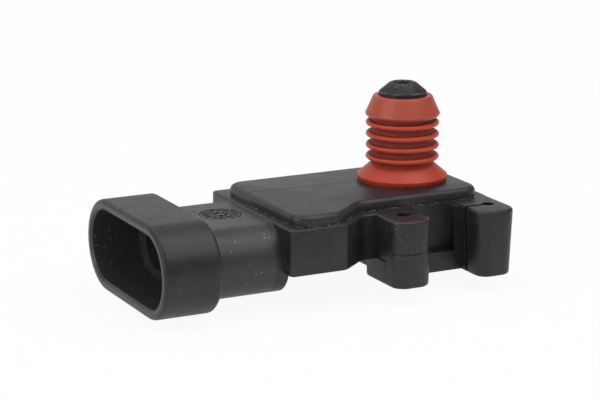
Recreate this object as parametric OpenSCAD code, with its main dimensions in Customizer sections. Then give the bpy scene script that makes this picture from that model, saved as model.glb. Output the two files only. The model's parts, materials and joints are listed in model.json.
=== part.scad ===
// Manifold absolute pressure sensor: a moulded housing with a three-blade socket, a cover with
// the pressure port and its ribbed seal, and the sensing circuit inside.
// Sizes are laid out from the housing's corner: X runs from its left wall away from the socket,
// Y from its near wall, Z up from its flat underside. The part's origin is on the port's axis,
// level with the cover's top face.

/* [Housing] */
// Height of the housing's rim above its underside
body_h = 8.05; // [7:0.05:10]
// Where the slope of the near shoulder starts
shoulder_x = 10.6; // [8:0.1:11]
// Length of that slope
shoulder_run = 5; // [4:0.1:6]
// How far the shoulder steps the near wall in
shoulder_in = 4.1; // [3:0.1:4.5]
// Radius that blends the shoulder into the wall
shoulder_r = 2.3; // [1:0.1:3]
// Corner radius at the connector end
body_corner_r = 0.9; // [0.7:0.1:2]
// Corner radius at the port end, near side
body_end_r = 4; // [2:0.1:5]
// Rounding of the housing's edges
body_edge_r = 0.35; // [0.2:0.05:0.6]

/* [Lower chamber] */
// Where the lower chamber starts
chamber_x = 21.6; // [20:0.1:22.5]
// How far it reaches below the flat underside
chamber_d = 3.8; // [3.4:0.1:5]
// How far its wall stands out of the wall above
chamber_out = 0.45; // [0.2:0.05:0.7]
// Height of that step above the flat underside, below zero is lower
step_z = -0.25; // [-0.8:0.05:0]
// Thickness of its floor
chamber_floor = 1.6; // [1.4:0.1:2]
// Thickness of its wall on the connector side
chamber_wall = 1.8; // [1.4:0.1:2.2]

/* [Connector] */
// Outside width of the shroud
shroud_w = 34.7; // [33:0.1:36]
// Outside height of the shroud
shroud_h = 16.1; // [15.5:0.1:17]
// Length of the shroud
shroud_l = 10.45; // [9:0.05:13]
// Height of the shroud's axis above the underside
shroud_z = 2.3; // [2:0.05:2.8]
// Wall of the shroud
shroud_wall = 1.75; // [1.4:0.05:2]
// Depth of the wide part of the socket
socket_d = 8.95; // [7:0.05:10]
// Rounding of the shroud's outer edges
lip_r = 0.8; // [0.4:0.05:1]
// Chamfer inside the shroud's mouth
mouth_chamfer = 0.4; // [0.2:0.05:0.6]
// Outside width of the neck
neck_w = 27.3; // [26.5:0.1:28.5]
// Outside height of the neck
neck_h = 12.2; // [11.8:0.1:12.4]
// Length of the neck
neck_l = 12.9; // [10:0.1:16]
// Height of the neck's axis above the underside
neck_z = 1.8; // [1.7:0.05:1.85]
// Wall of the neck
neck_wall = 1.7; // [1.4:0.05:1.9]
// How far the socket's floor lies outside the housing's left wall
socket_floor = 3.2; // [2:0.1:4]
// Width of the latch ramp under the shroud
ramp_w = 6; // [4:0.1:8]
// Length of the latch ramp
ramp_l = 4.5; // [3:0.1:5]
// Height of the latch ramp
ramp_h = 1.1; // [0.8:0.05:1.6]
// Length of the flat on top of the ramp
ramp_top = 0.9; // [0.5:0.1:1.5]
// How far the ramp lies behind the mouth
ramp_x = 2.2; // [1.5:0.1:3]

/* [Clip bosses] */
// How far the right boss stays inside the housing's end
boss_in = 0.1; // [0:0.05:0.4]
// Gap between the bosses
boss_gap = 8.8; // [8:0.1:9.2]
// Width of a boss
boss_w = 7.6; // [7:0.1:7.8]
// How far a boss stands out of the housing's near wall
boss_out = 3.75; // [3:0.05:5]
// Corner radius of a boss
boss_r = 2.7; // [2:0.1:3]
// Draft of a boss's walls, in degrees
boss_draft = 2.3; // [1:0.1:3]
// How far the left boss's lower part stands out
boss_step = 0.22; // [0.1:0.01:0.4]
// Rounding of a boss's top and bottom edges
boss_edge_r = 0.5; // [0.3:0.05:0.8]
// How far the clip bores lie off the bosses' middle, towards the housing's end
clip_shift = 0.5; // [0.3:0.05:0.7]
// Distance between the two clip bores
clip_span = 17; // [16.6:0.1:17.4]
// Distance of the clip bores from the housing's near wall
clip_y = 1.5; // [1.1:0.1:1.8]
// Diameter of a clip bore
clip_d = 2.2; // [1.8:0.1:2.4]
// Width of the slit from the bore to the boss's inner face
clip_slit = 0.8; // [0.5:0.05:0.9]
// How far the wall between the bosses is set back
recess_in = 1.6; // [1:0.1:1.8]
// How far the pilaster beside each boss stands out
pilaster_out = 0.5; // [0.3:0.05:0.8]
// Width of a pilaster
pilaster_w = 0.75; // [0.5:0.05:1.5]
// How far the left boss's foot reaches under the housing
foot_y = 7.6; // [6.5:0.1:9]
// Corner radius of that foot
foot_r = 1.2; // [0.9:0.1:2]

/* [Cover] */
// Height of the cover's plate
cover_h = 1.9; // [1.6:0.05:2.5]
// Ledge between the housing's edge and the plate, left end
ledge_left = 1.5; // [1:0.1:2]
// Ledge at the wide near side
ledge_near = 0.9; // [0.7:0.1:1.4]
// Ledge at the narrow near side
ledge_waist = 2.2; // [1.8:0.1:2.6]
// Ledge at the far side
ledge_far = 2.3; // [1.8:0.1:3]
// Ledge at the port end
ledge_right = 1.5; // [1:0.1:2]
// Where the slope of the plate's shoulder starts
plate_slope_x = 9.9; // [9:0.1:10.5]
// Length of that slope
plate_slope_run = 6.4; // [6:0.1:7]
// Radius that blends the slope into the plate's sides
plate_slope_r = 3.4; // [2.5:0.1:4]
// Corner radius of the plate
plate_r = 3.2; // [2.8:0.1:4]
// Rounding of the plate's top edge
plate_edge_r = 0.95; // [0.5:0.05:1.2]
// Width of the rim that the plate sits on, out to the cavity
rim_w = 1.8; // [1.6:0.05:2]
// Width of the sealant rebate inside the rim
rebate_w = 0.9; // [0.6:0.05:1.1]
// Depth of the sealant rebate
rebate_d = 0.7; // [0.5:0.05:1]
// Depth of the plate's locating skirt
skirt_d = 2; // [1.5:0.1:2.5]
// Wall of the locating skirt
skirt_w = 1; // [0.8:0.05:1.4]
// Gap between the skirt and the cavity's wall
skirt_gap = 0.12; // [0.08:0.01:0.2]

/* [Port] */
// Bore of the port
port_bore = 3; // [2:0.1:3.6]
// Outside diameter of the port's tube
tube_d = 7.2; // [6.8:0.1:7.6]
// Height of the port's barb above the plate
barb_z = 15.05; // [14.2:0.05:16]
// Height of the barb itself
barb_h = 2.5; // [2:0.1:3.5]
// Largest diameter of the barb
barb_d = 8.48; // [8.2:0.02:9]
// Diameter of the barb's flat tip
barb_tip_d = 4.5; // [4.4:0.1:5]
// Height of the barb's cylindrical band
barb_band = 0.9; // [0.5:0.1:1.2]
// Chamfer under the barb
barb_chamfer = 0.25; // [0.15:0.05:0.4]
// Chamfer of the tip's outer edge and of the bore's mouth
tip_chamfer = 0.25; // [0.1:0.05:0.3]

/* [Seal] */
// Largest diameter of the seal's base flange
flange_d = 16.1; // [15.4:0.1:17]
// Height of the widest band of the flange
flange_h = 0.95; // [0.7:0.05:1.2]
// Height of the rounding under the flange's edge
flange_edge = 0.4; // [0.2:0.05:0.6]
// Height at which the flange's cone ends
flange_cone_z = 3.15; // [2.8:0.05:3.4]
// Diameter over the ribs
rib_d = 13.06; // [12.8:0.02:13.6]
// Diameter between the ribs
groove_d = 11; // [10.6:0.1:12]
// Number of ribs
rib_n = 4; // [3:1:5]
// Height of the lowest rib's crest
rib_z = 4.25; // [4.1:0.05:4.4]
// Pitch of the ribs
rib_pitch = 2.03; // [1.8:0.01:2.05]
// Thickness of a rib at its crest
rib_t = 0.42; // [0.3:0.02:0.6]
// How much a rib widens towards its root
rib_flare = 0.2; // [0:0.05:0.3]
// Height of the sealing lip's lower edge
lip_z = 11.65; // [11.5:0.05:12]
// Diameter of the sealing lip
lip_d = 13.3; // [13.1:0.05:13.8]
// Height of the slope under the lip
lip_flare = 0.35; // [0.2:0.05:0.5]
// Height of the lip's edge
lip_edge = 0.4; // [0.3:0.05:0.6]
// Diameter of the seal's upper end
crown_d = 10.4; // [10:0.1:11]
// Rounding of the seal's upper edge
crown_r = 0.4; // [0.3:0.05:0.5]
// How far the upper end stands up round the barb
crown_rise = 0.25; // [0.1:0.05:0.4]
// Gap between the upper end and the barb
crown_gap = 0.12; // [0.1:0.01:0.2]
// Gap between the seal and the port's tube
seal_gap = 0.03; // [0.02:0.01:0.05]

/* [Terminals] */
// Distance between two blades
pin_pitch = 6.6; // [6:0.05:6.8]
// Width of a blade
pin_w = 1.5; // [1.3:0.05:1.8]
// Thickness of a blade
pin_t = 0.64; // [0.5:0.02:0.8]
// How far a blade stands out of the socket's floor
blade_l = 9.6; // [7:0.1:10]
// Length of the point at a blade's end
blade_point = 1; // [0.6:0.1:1.4]
// Width of a blade's tip
blade_tip_w = 0.75; // [0.5:0.05:1]
// Rounding of a terminal's cut edges
cut_r = 0.1; // [0.06:0.02:0.16]
// Gap between the outer bond pads and the cavity's near side
pad_clear = 0.55; // [0.4:0.05:0.8]
// Length of the bond pad at a terminal's inner end
bond_pad_l = 2.7; // [2.3:0.1:2.9]
// Inner radius of a terminal's bends
bend_r = 0.3; // [0.2:0.05:0.4]
// Length of the sealant over the terminals
potting_l = 3; // [2:0.1:3.6]
// Height of the sealant over the terminals
potting_h = 1.7; // [1.2:0.1:2.2]
// How far the sealant reaches past the outer terminals
potting_side = 0.9; // [0.6:0.1:1.2]

/* [Circuit] */
// Room on the substrate for the small chip parts, before the gel dam
dam_room = 3.6; // [3.4:0.1:4]
// Strip of the substrate that stays free past the gel dam
dam_edge = 0.8; // [0.6:0.1:1.2]
// Strip of the substrate that stays free beside the signal chip
substrate_edge = 1.4; // [1:0.1:2]
// Gap between the substrate and the cavity's sides
substrate_clear = 1.1; // [0.9:0.1:1.5]
// Gap between the substrate and the cavity's end
substrate_end = 0.7; // [0.5:0.1:1]
// Thickness of the substrate
substrate_t = 0.8; // [0.6:0.05:1]
// Thickness of its adhesive
adhesive_t = 0.2; // [0.1:0.02:0.3]
// How far the adhesive stays inside the substrate's edge
adhesive_in = 0.6; // [0.3:0.1:1]
// Gap between the bond pads and the substrate
substrate_gap = 0.3; // [0.2:0.05:0.4]
// Distance of the pressure cell from the port's axis
cell_x = 2.6; // [2:0.1:3]
// Side of the glass pedestal
pedestal_w = 2.2; // [2:0.1:2.4]
// Height of the glass pedestal
pedestal_h = 1.2; // [0.8:0.1:1.6]
// Side of the silicon die
die_w = 1.9; // [1.7:0.1:2]
// Thickness of the silicon die
die_t = 0.5; // [0.3:0.05:0.6]
// Thickness of the adhesive under the pedestal and the chip
bond_line = 0.08; // [0.05:0.01:0.12]
// Outside diameter of the gel dam
dam_d = 7.4; // [7:0.1:7.8]
// Wall of the gel dam
dam_wall = 0.6; // [0.4:0.05:0.8]
// Height of the gel dam
dam_h = 3.4; // [3:0.1:3.8]
// Depth of the gel in the dam
gel_h = 2.9; // [2.85:0.05:2.95]
// Gap between the gel dam and the signal chip
chip_gap = 1.3; // [0.8:0.1:2]
// Length of the signal chip
chip_l = 3; // [2.6:0.1:3.2]
// Width of the signal chip
chip_w = 2.4; // [2:0.1:2.6]
// Thickness of the signal chip
chip_t = 0.4; // [0.3:0.05:0.5]
// Diameter of the bond wires
wire_d = 0.2; // [0.15:0.01:0.25]
// Distance of a bond wire's foot from the edge of its pad
wire_foot = 0.8; // [0.5:0.05:1]

/* [Chip parts] */
// Length of the capacitor across the signal and ground terminals
line_cap_l = 5.8; // [5.6:0.05:6.2]
// Width of that capacitor
line_cap_w = 4; // [3:0.1:5]
// Height of that capacitor
line_cap_h = 1.8; // [1.2:0.1:2.2]
// Length of a small chip part on the substrate
small_l = 2; // [1.6:0.1:2.2]
// Width of a small chip part
small_w = 1.25; // [1:0.05:1.4]
// Height of a small chip part
small_h = 0.9; // [0.5:0.05:1.2]
// Length of a chip part's end caps
cap_end = 0.4; // [0.3:0.05:0.6]
// How far the end caps stand proud of the ceramic
cap_t = 0.06; // [0.04:0.01:0.1]

/* [Hidden] */
$fn = 48;
small_fn = 20;
arc_n = 6;
edge_n = 4;
eps = 0.01;
over = 1;
sunk = 0.3;
least_r = 0.05;
wire_gap = 0.02;

plastic = [0.16, 0.16, 0.17];
rubber = [0.72, 0.22, 0.14];
alloy = [0.78, 0.72, 0.52];
ceramic = [0.9, 0.89, 0.85];
epoxy = [0.25, 0.22, 0.2];

// Along the housing, what lies in the lower chamber sets the port's place and the far end
pit_x = chamber_x + chamber_wall;
pad_end_x = pit_x + bond_pad_l;
substrate_x = pad_end_x + substrate_gap;
substrate_l = dam_room + dam_d + dam_edge;
port_x = substrate_x + dam_room + dam_d / 2 - cell_x;
body_l = substrate_x + substrate_l + substrate_end + rim_w + ledge_right;
boss_mid = body_l - boss_in - boss_w - boss_gap / 2;
clip_mid = boss_mid + clip_shift;

// The chip and the gel dam side by side set the substrate's width, and that sets the housing's
chip_y = dam_d / 2 + chip_gap + chip_w / 2;
substrate_w = 2 * (chip_y + chip_w / 2 + substrate_edge);
cavity_w = substrate_w + 2 * substrate_clear;
plate_near = shoulder_in + ledge_waist;
port_y = plate_near + rim_w + cavity_w / 2;
body_w = plate_near + 2 * rim_w + cavity_w + ledge_far;

cover_z = body_h + cover_h;
axis_y = plate_near + rim_w + pad_clear + pin_w / 2 + pin_pitch;
pit_z = -chamber_d + chamber_floor;
deck_z = neck_z - pin_t / 2;
substrate_z = pit_z + adhesive_t;
circuit_z = substrate_z + substrate_t;
pad_z = circuit_z - pin_t;
mouth_x = -neck_l - shroud_l;
shelf_x = mouth_x + socket_d;
pedestal_z = circuit_z + bond_line;
die_z = pedestal_z + pedestal_h;
die_top = die_z + die_t;
chip_top = circuit_z + bond_line + chip_t;
dam_r = dam_d / 2 - dam_wall;
cell = [port_x + cell_x, port_y];
chip = [port_x + cell_x, port_y + chip_y];
boss_x = [boss_mid - boss_gap / 2 - boss_w, boss_mid + boss_gap / 2];
clip_x = [clip_mid - clip_span / 2, clip_mid + clip_span / 2];
pin_y = [axis_y - pin_pitch, axis_y, axis_y + pin_pitch];

// Corners of the housing's outline and their radii
body_plan = [[0, 0], [shoulder_x, 0], [shoulder_x + shoulder_run, shoulder_in],
    [body_l, shoulder_in], [body_l, body_w], [0, body_w]];
body_radii = [body_corner_r, shoulder_r, shoulder_r, body_end_r, body_corner_r, body_corner_r];

// The same for the lower chamber and the cover's plate
chamber_plan = [[chamber_x, shoulder_in], [body_l, shoulder_in], [body_l, body_w],
    [chamber_x, body_w]];
chamber_radii = [body_corner_r, body_end_r, body_corner_r, body_corner_r];
plate_plan = [[ledge_left, ledge_near], [plate_slope_x, ledge_near],
    [plate_slope_x + plate_slope_run, plate_near], [body_l - ledge_right, plate_near],
    [body_l - ledge_right, body_w - ledge_far], [ledge_left, body_w - ledge_far]];
plate_radii = [plate_r, plate_slope_r, plate_slope_r, plate_r, plate_r, plate_r];

function unit(v) = v / norm(v);
function left_of(v) = [-v.y, v.x];
function turn(u, v) = atan2(u.x * v.y - u.y * v.x, u * v);

// Point i of a closed outline, counted round
function at(pts, i) = pts[(i + len(pts)) % len(pts)];

// An outline moved inwards by d, with sharp corners
function inset(pts, d) = [for (i = [0 : len(pts) - 1])
    let (u = left_of(unit(pts[i] - at(pts, i - 1))), v = left_of(unit(at(pts, i + 1) - pts[i])))
    pts[i] + d * (u + v) / (1 + u * v)];

// The arc that rounds corner b between a and c
function corner(a, b, c, r) =
    let (u = unit(b - a), t = turn(u, unit(c - b)), start = b - u * abs(r * tan(t / 2)),
        centre = start + sign(t) * r * left_of(u), from = start - centre)
    [for (k = [0 : arc_n]) let (w = t * k / arc_n)
        centre + [from.x * cos(w) - from.y * sin(w), from.x * sin(w) + from.y * cos(w)]];

// A rounded outline moved inwards by d: outer corners tighten and inner ones open
function rounded(pts, radii, d) = let (p = inset(pts, d)) [for (i = [0 : len(p) - 1])
    let (s = sign(turn(unit(p[i] - at(p, i - 1)), unit(at(p, i + 1) - p[i]))))
    each corner(at(p, i - 1), p[i], at(p, i + 1), max(radii[i] - s * d, least_r))];

// Rings of a rounded edge, going up to z when up is 1 and down to it when up is -1
function edge_rings(pts, radii, z, r, up, d = 0) = [for (k = [0 : edge_n])
    let (a = up > 0 ? 90 * k / edge_n : 90 - 90 * k / edge_n)
    [rounded(pts, radii, d + r * (1 - cos(a))), z - up * r * (1 - sin(a))]];

// The point that an outline's flat end is fanned out from
function hub(pts) = [for (c = [0, 1]) [for (p = pts) p[c]] * [for (p = pts) 1] / len(pts)];

// A solid through a stack of outlines, each with its height
module loft(rings) {
    n = len(rings[0][0]);
    m = len(rings);
    polyhedron(
        points = concat([for (r = rings) for (p = r[0]) [p.x, p.y, r[1]]],
            [for (r = [rings[0], rings[m - 1]]) let (h = hub(r[0])) [h.x, h.y, r[1]]]),
        faces = [for (i = [0 : n - 1]) let (j = (i + 1) % n, top = (m - 1) * n)
            each concat([[m * n, i, j], [m * n + 1, top + j, top + i]],
                [for (k = [0 : m - 2]) [k * n + i, (k + 1) * n + i, (k + 1) * n + j, k * n + j]])]);
}

// Places a sub-part that is laid out from the housing's corner
module placed() { translate([-port_x, -port_y, -cover_z]) children(); }

// Turns a shape drawn across Y and Z so that it is extruded along X
module along_x(x, z, length) {
    translate([x, axis_y, z]) rotate([90, 0, 90]) linear_extrude(length) children();
}

module racetrack(w, h) {
    square([w - h, h], center = true);
    for (s = [-1, 1]) translate([s * (w - h) / 2, 0]) circle(d = h);
}

// A section, drawn as distance from the racetrack's spine and as X, carried round the racetrack
module swept_racetrack(w, h, x, z) {
    translate([x, axis_y, z]) rotate([0, 90, 0]) {
        for (s = [0, 1]) rotate(180 * s) {
            translate([0, (w - h) / 2, 0]) rotate_extrude(angle = 180) children();
            translate([0, (w - h) / 2, 0]) rotate([90, 0, 0]) linear_extrude(w - h) children();
        }
    }
}

// Section of the shroud's wall: rounded outside at both ends, chamfered inside at the mouth
module shroud_section() {
    outer = shroud_h / 2;
    inner = outer - shroud_wall;
    translate([inner, mouth_chamfer]) square([shroud_wall - lip_r, shroud_l - mouth_chamfer]);
    translate([inner + mouth_chamfer, 0])
        square([shroud_wall - lip_r - mouth_chamfer, shroud_l]);
    polygon([[inner, mouth_chamfer], [inner + mouth_chamfer, 0], [inner + mouth_chamfer, mouth_chamfer]]);
    translate([outer - lip_r, lip_r]) square([lip_r, shroud_l - 2 * lip_r]);
    for (x = [lip_r, shroud_l - lip_r]) translate([outer - lip_r, x]) circle(lip_r);
}

// Wall between the wide socket and the neck, with the narrow socket through it
module neck_shell() {
    difference() {
        union() {
            along_x(shelf_x, shroud_z, shroud_l - socket_d - lip_r)
                racetrack(shroud_w - 2 * shroud_wall + 2 * eps, shroud_h - 2 * shroud_wall + 2 * eps);
            along_x(shelf_x, shroud_z, shroud_l - socket_d)
                racetrack(shroud_w - 2 * lip_r, shroud_h - 2 * lip_r);
            along_x(shelf_x, neck_z, body_corner_r - shelf_x) racetrack(neck_w, neck_h);
        }
        along_x(shelf_x - over, neck_z, over - shelf_x - socket_floor)
            racetrack(neck_w - 2 * neck_wall, neck_h - 2 * neck_wall);
    }
}

// Ramp that the plug's latch snaps over, with its steep face towards the housing
module latch_ramp() {
    translate([mouth_x + ramp_x, axis_y + ramp_w / 2, shroud_z - shroud_h / 2])
        rotate([90, 0, 0]) linear_extrude(ramp_w)
            polygon([[0, sunk], [0, 0], [ramp_l - ramp_top, -ramp_h], [ramp_l, -ramp_h], [ramp_l, sunk]]);
}

// One boss, drafted downwards, rounded at both ends and with or without a parting step
module boss(x, step) {
    pts = [[x, -boss_out], [x + boss_w, -boss_out], [x + boss_w, shoulder_in + body_end_r],
        [x, shoulder_in + body_end_r]];
    radii = [boss_r, boss_r, body_corner_r, body_corner_r];
    slope = tan(boss_draft);
    parting = slope * (body_h - step_z);
    foot = slope * (body_h + chamber_d - boss_edge_r) - step;
    loft(concat(edge_rings(pts, radii, -chamber_d, boss_edge_r, -1, foot),
        [for (d = step > 0 ? [parting - step, parting] : [parting]) [rounded(pts, radii, d), step_z]],
        edge_rings(pts, radii, body_h, boss_edge_r, 1)));
}

// Foot of the left boss, which runs back under the housing to the lower chamber
module boss_foot() {
    end_x = chamber_x + chamber_wall;
    pts = [[boss_x[0], 0], [end_x, 0], [end_x, foot_y], [boss_x[0], foot_y]];
    radii = [body_corner_r, body_corner_r, body_corner_r, foot_r];
    loft(concat(edge_rings(pts, radii, -chamber_d, boss_edge_r, -1, boss_step),
        [[rounded(pts, radii, 0), body_edge_r]]));
}

// Keyhole in a boss: a bore for the clip's leg and a slit to the boss's inner face
module keyhole(i) {
    side = i == 0 ? 1 : -1;
    depth = chamber_d + body_h + 2 * over;
    translate([clip_x[i], clip_y, -chamber_d - over]) {
        cylinder(d = clip_d, h = depth);
        translate([side > 0 ? 0 : -boss_w, -clip_slit / 2, 0]) cube([boss_w, clip_slit, depth]);
    }
}

// Edge of the housing's cavity, which the cover's skirt and the sealant follow
module cavity_plan(d = 0) { polygon(rounded(plate_plan, plate_radii, rim_w + d)); }

module cavity() {
    translate([0, 0, deck_z]) linear_extrude(body_h) cavity_plan();
    translate([0, 0, body_h - rebate_d]) linear_extrude(body_h) cavity_plan(-rebate_w);
    pit_from(pit_x, pad_z);
    pit_from(substrate_x - substrate_gap / 2, pit_z);
}

// The part of the cavity that lies past x, sunk to z: the terminals' pads rest on its first step
module pit_from(x, z) {
    translate([0, 0, z]) linear_extrude(body_h) intersection() {
        cavity_plan();
        translate([x, 0]) square([body_l, body_w]);
    }
}

module housing_shell() {
    difference() {
        union() {
            loft(concat(edge_rings(body_plan, body_radii, 0, body_edge_r, -1),
                edge_rings(body_plan, body_radii, body_h, body_edge_r, 1)));
            loft(concat(edge_rings(chamber_plan, chamber_radii, -chamber_d, body_edge_r, -1,
                    -chamber_out),
                [[rounded(chamber_plan, chamber_radii, -chamber_out), step_z],
                    [rounded(chamber_plan, chamber_radii, 0), step_z],
                    [rounded(chamber_plan, chamber_radii, 0), 2 * body_edge_r]]));
        }
        translate([boss_x[0] + boss_w / 2, shoulder_in - over, step_z])
            cube([boss_gap + boss_w, recess_in + over, body_h + over]);
    }
    boss(boss_x[0], boss_step);
    boss(boss_x[1], 0);
    boss_foot();
    for (x = [boss_x[0] + boss_w - boss_r, boss_x[1] - pilaster_w])
        translate([x, shoulder_in - pilaster_out, -chamber_d + body_edge_r])
            cube([pilaster_w + boss_r, pilaster_out + recess_in + over,
                chamber_d + body_h - 2 * body_edge_r]);
}

// Terminal seen from the side: blade, strip on the deck, joggle down to the pit and bond pad
module terminal_profile() {
    tip_x = -socket_floor - blade_l;
    t = pin_t;
    pts = [[tip_x, deck_z], [pit_x, deck_z], [pit_x, pad_z], [pad_end_x, pad_z],
        [pad_end_x, circuit_z], [pit_x + t, circuit_z], [pit_x + t, deck_z + t], [tip_x, deck_z + t]];
    outer = bend_r + t;
    polygon(rounded(pts, [cut_r, bend_r, cut_r, cut_r, cut_r, bend_r, outer, cut_r], 0));
}

module terminal(i) {
    tip_x = -socket_floor - blade_l;
    end_x = pad_end_x + over;
    intersection() {
        translate([0, pin_y[i] + pin_w / 2, 0]) rotate([90, 0, 0]) linear_extrude(pin_w)
            terminal_profile();
        translate([0, pin_y[i], pad_z - over]) linear_extrude(body_h)
            polygon([[tip_x, -blade_tip_w / 2], [tip_x + blade_point, -pin_w / 2], [end_x, -pin_w / 2],
                [end_x, pin_w / 2], [tip_x + blade_point, pin_w / 2], [tip_x, blade_tip_w / 2]]);
    }
}

// Wire loop in the XZ plane from one foot to the other, the lower foot on a straight leg
module wire_loop(x0, x1, z0, z1, grow = 0) {
    top = max(z0, z1);
    r = abs(x1 - x0) / 2;
    d = wire_d + 2 * grow;
    translate([(x0 + x1) / 2, 0, top]) rotate([90, 0, 0]) rotate_extrude(angle = 180)
        translate([r, 0]) circle(d = d, $fn = small_fn);
    if (top - z0 > eps) translate([x0, 0, z0]) cylinder(d = d, h = top - z0, $fn = small_fn);
    if (top - z1 > eps) translate([x1, 0, z1]) cylinder(d = d, h = top - z1, $fn = small_fn);
}

// A ceramic chip with its end caps across X
module chip_part(l, w, h) {
    difference() {
        translate([-l / 2, -w / 2, 0]) cube([l, w, h]);
        for (z = [-over, h]) translate([-l / 2 + cap_end, -w, z - cap_t])
            cube([l - 2 * cap_end, 2 * w, over + 2 * cap_t]);
    }
}

module housing() {
    color(plastic) placed() difference() {
        union() {
            housing_shell();
            swept_racetrack(shroud_w, shroud_h, mouth_x, shroud_z) shroud_section();
            neck_shell();
            latch_ramp();
        }
        cavity();
        for (i = [0, 1]) keyhole(i);
        for (i = [0 : 2]) terminal(i);
    }
}

module port_cover() {
    color(plastic) {
        placed() difference() {
            union() {
                translate([0, 0, body_h]) loft(concat([[rounded(plate_plan, plate_radii, 0), 0]],
                    edge_rings(plate_plan, plate_radii, cover_h, plate_edge_r, 1)));
                translate([0, 0, body_h - skirt_d]) linear_extrude(skirt_d + eps) difference() {
                    cavity_plan(skirt_gap);
                    cavity_plan(skirt_gap + skirt_w);
                }
            }
            translate([port_x, port_y, 0]) cylinder(d = port_bore, h = cover_z + over);
        }
        rotate_extrude() port_section();
    }
}

// Half section of the port above the plate: tube, barb and flat tip round the bore
module port_section() {
    b = port_bore / 2;
    tip_z = barb_z + barb_h;
    polygon([[b, -eps], [tube_d / 2, -eps], [tube_d / 2, barb_z],
        [barb_d / 2 - barb_chamfer, barb_z], [barb_d / 2, barb_z + barb_chamfer],
        [barb_d / 2, barb_z + barb_band], [barb_tip_d / 2 + tip_chamfer, tip_z - tip_chamfer / 2],
        [barb_tip_d / 2, tip_z], [b + tip_chamfer, tip_z], [b, tip_z - tip_chamfer]]);
}

module port_seal() {
    color(rubber) rotate_extrude() seal_section();
}

// Half section of the seal: conical flange, rounded ribs and a bell with a sealing lip
module seal_section() {
    inner = tube_d / 2 + seal_gap;
    groove = groove_d / 2;
    lip = [lip_d / 2, lip_z + lip_edge];
    crown_z = barb_z + crown_rise;
    cup = [barb_d / 2 + crown_gap, crown_z];
    difference() {
        union() {
            translate([inner, 0]) square([groove - inner, lip_z]);
            polygon([[inner, 0], [flange_d / 2 - flange_edge / 2, 0], [flange_d / 2, flange_edge],
                [flange_d / 2, flange_h], [groove, flange_cone_z], [inner, flange_cone_z]]);
            for (i = [0 : rib_n - 1]) translate([rib_d / 2 - rib_t, rib_z + i * rib_pitch]) {
                root = groove - rib_d / 2 + rib_t - sunk;
                circle(d = 2 * rib_t, $fn = small_fn);
                polygon([[0, -rib_t], [0, rib_t], [root, rib_t + rib_flare], [root, -rib_t - rib_flare]]);
            }
            polygon(concat([[inner, lip_z - lip_flare], [groove, lip_z - lip_flare],
                    [lip_d / 2 - lip_edge / 2, lip_z], lip],
                corner(lip, [crown_d / 2, crown_z], cup, crown_r),
                [cup, [cup.x, barb_z], [inner, barb_z]]));
        }
        translate([-over, -over]) square([inner + over, barb_z + 2 * over]);
    }
}

module cover_sealant() {
    color(epoxy) placed() translate([0, 0, body_h - rebate_d]) linear_extrude(rebate_d) difference() {
        cavity_plan(-rebate_w);
        cavity_plan(skirt_gap);
    }
}

module terminal_ground() { color(alloy) placed() terminal(0); }

module terminal_signal() { color(alloy) placed() terminal(1); }

module terminal_supply() { color(alloy) placed() terminal(2); }

module terminal_sealant() {
    x = ledge_left + rim_w;
    half = pin_pitch + pin_w / 2 + potting_side;
    color(epoxy) placed() difference() {
        translate([x, axis_y - half, deck_z]) cube([potting_l, 2 * half, potting_h]);
        for (i = [0 : 2]) terminal(i);
    }
}

module circuit_substrate() {
    color(ceramic) placed() translate([substrate_x, port_y - substrate_w / 2, substrate_z])
        cube([substrate_l, substrate_w, substrate_t]);
}

module substrate_adhesive() {
    color(epoxy) placed()
        translate([substrate_x + adhesive_in, port_y - substrate_w / 2 + adhesive_in, pit_z])
            cube([substrate_l - 2 * adhesive_in, substrate_w - 2 * adhesive_in, adhesive_t]);
}

module at_cell(z) { translate([cell.x, cell.y, z]) children(); }

module at_chip(z) { translate([chip.x, chip.y, z]) children(); }

module block(l, w, h) { translate([-l / 2, -w / 2, 0]) cube([l, w, h]); }

module glass_pedestal() {
    color([0.75, 0.8, 0.78]) placed() at_cell(pedestal_z) block(pedestal_w, pedestal_w, pedestal_h);
}

module pedestal_adhesive() {
    color(epoxy) placed() at_cell(circuit_z) block(pedestal_w, pedestal_w, bond_line);
}

module pressure_die() {
    color([0.45, 0.46, 0.5]) placed() at_cell(die_z) block(die_w, die_w, die_t);
}

module gel_dam() {
    color(plastic) placed() at_cell(circuit_z) difference() {
        cylinder(d = dam_d, h = dam_h);
        translate([0, 0, -over]) cylinder(r = dam_r, h = dam_h + 2 * over);
    }
}

// The four wires of the pressure die, as a pair on each side
module die_wires(grow = 0) {
    foot = (die_w / 2 + dam_r) / 2;
    for (s = [-1, 1]) for (t = [-1, 1])
        at_cell(0) translate([0, t * die_w / 4, 0])
            wire_loop(s * (die_w / 2 - wire_d), s * foot, die_top, circuit_z, grow);
}

module sensing_gel() {
    color([0.8, 0.85, 0.9, 0.6]) placed() difference() {
        at_cell(circuit_z) cylinder(r = dam_r, h = gel_h);
        at_cell(circuit_z - over) block(pedestal_w, pedestal_w, over + bond_line + pedestal_h);
        at_cell(die_z - eps) block(die_w, die_w, die_t + eps);
        die_wires(wire_gap);
    }
}

module signal_chip() {
    color([0.3, 0.31, 0.35]) placed() at_chip(circuit_z + bond_line) block(chip_l, chip_w, chip_t);
}

module chip_adhesive() {
    color(epoxy) placed() at_chip(circuit_z) block(chip_l, chip_w, bond_line);
}

module line_capacitor() {
    color(ceramic) placed()
        translate([pit_x / 2 + potting_l, (pin_y[0] + pin_y[1]) / 2, deck_z + pin_t])
            rotate(90) chip_part(line_cap_l, line_cap_w, line_cap_h);
}

module supply_capacitor() {
    color(ceramic) placed()
        translate([substrate_x + small_l, port_y + chip_y, circuit_z])
            rotate(90) chip_part(small_l, small_w, small_h);
}

module pull_up_resistor() {
    color(ceramic) placed()
        translate([substrate_x + substrate_l / 2, port_y - chip_y, circuit_z])
            chip_part(small_l, small_w, small_h);
}

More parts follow.
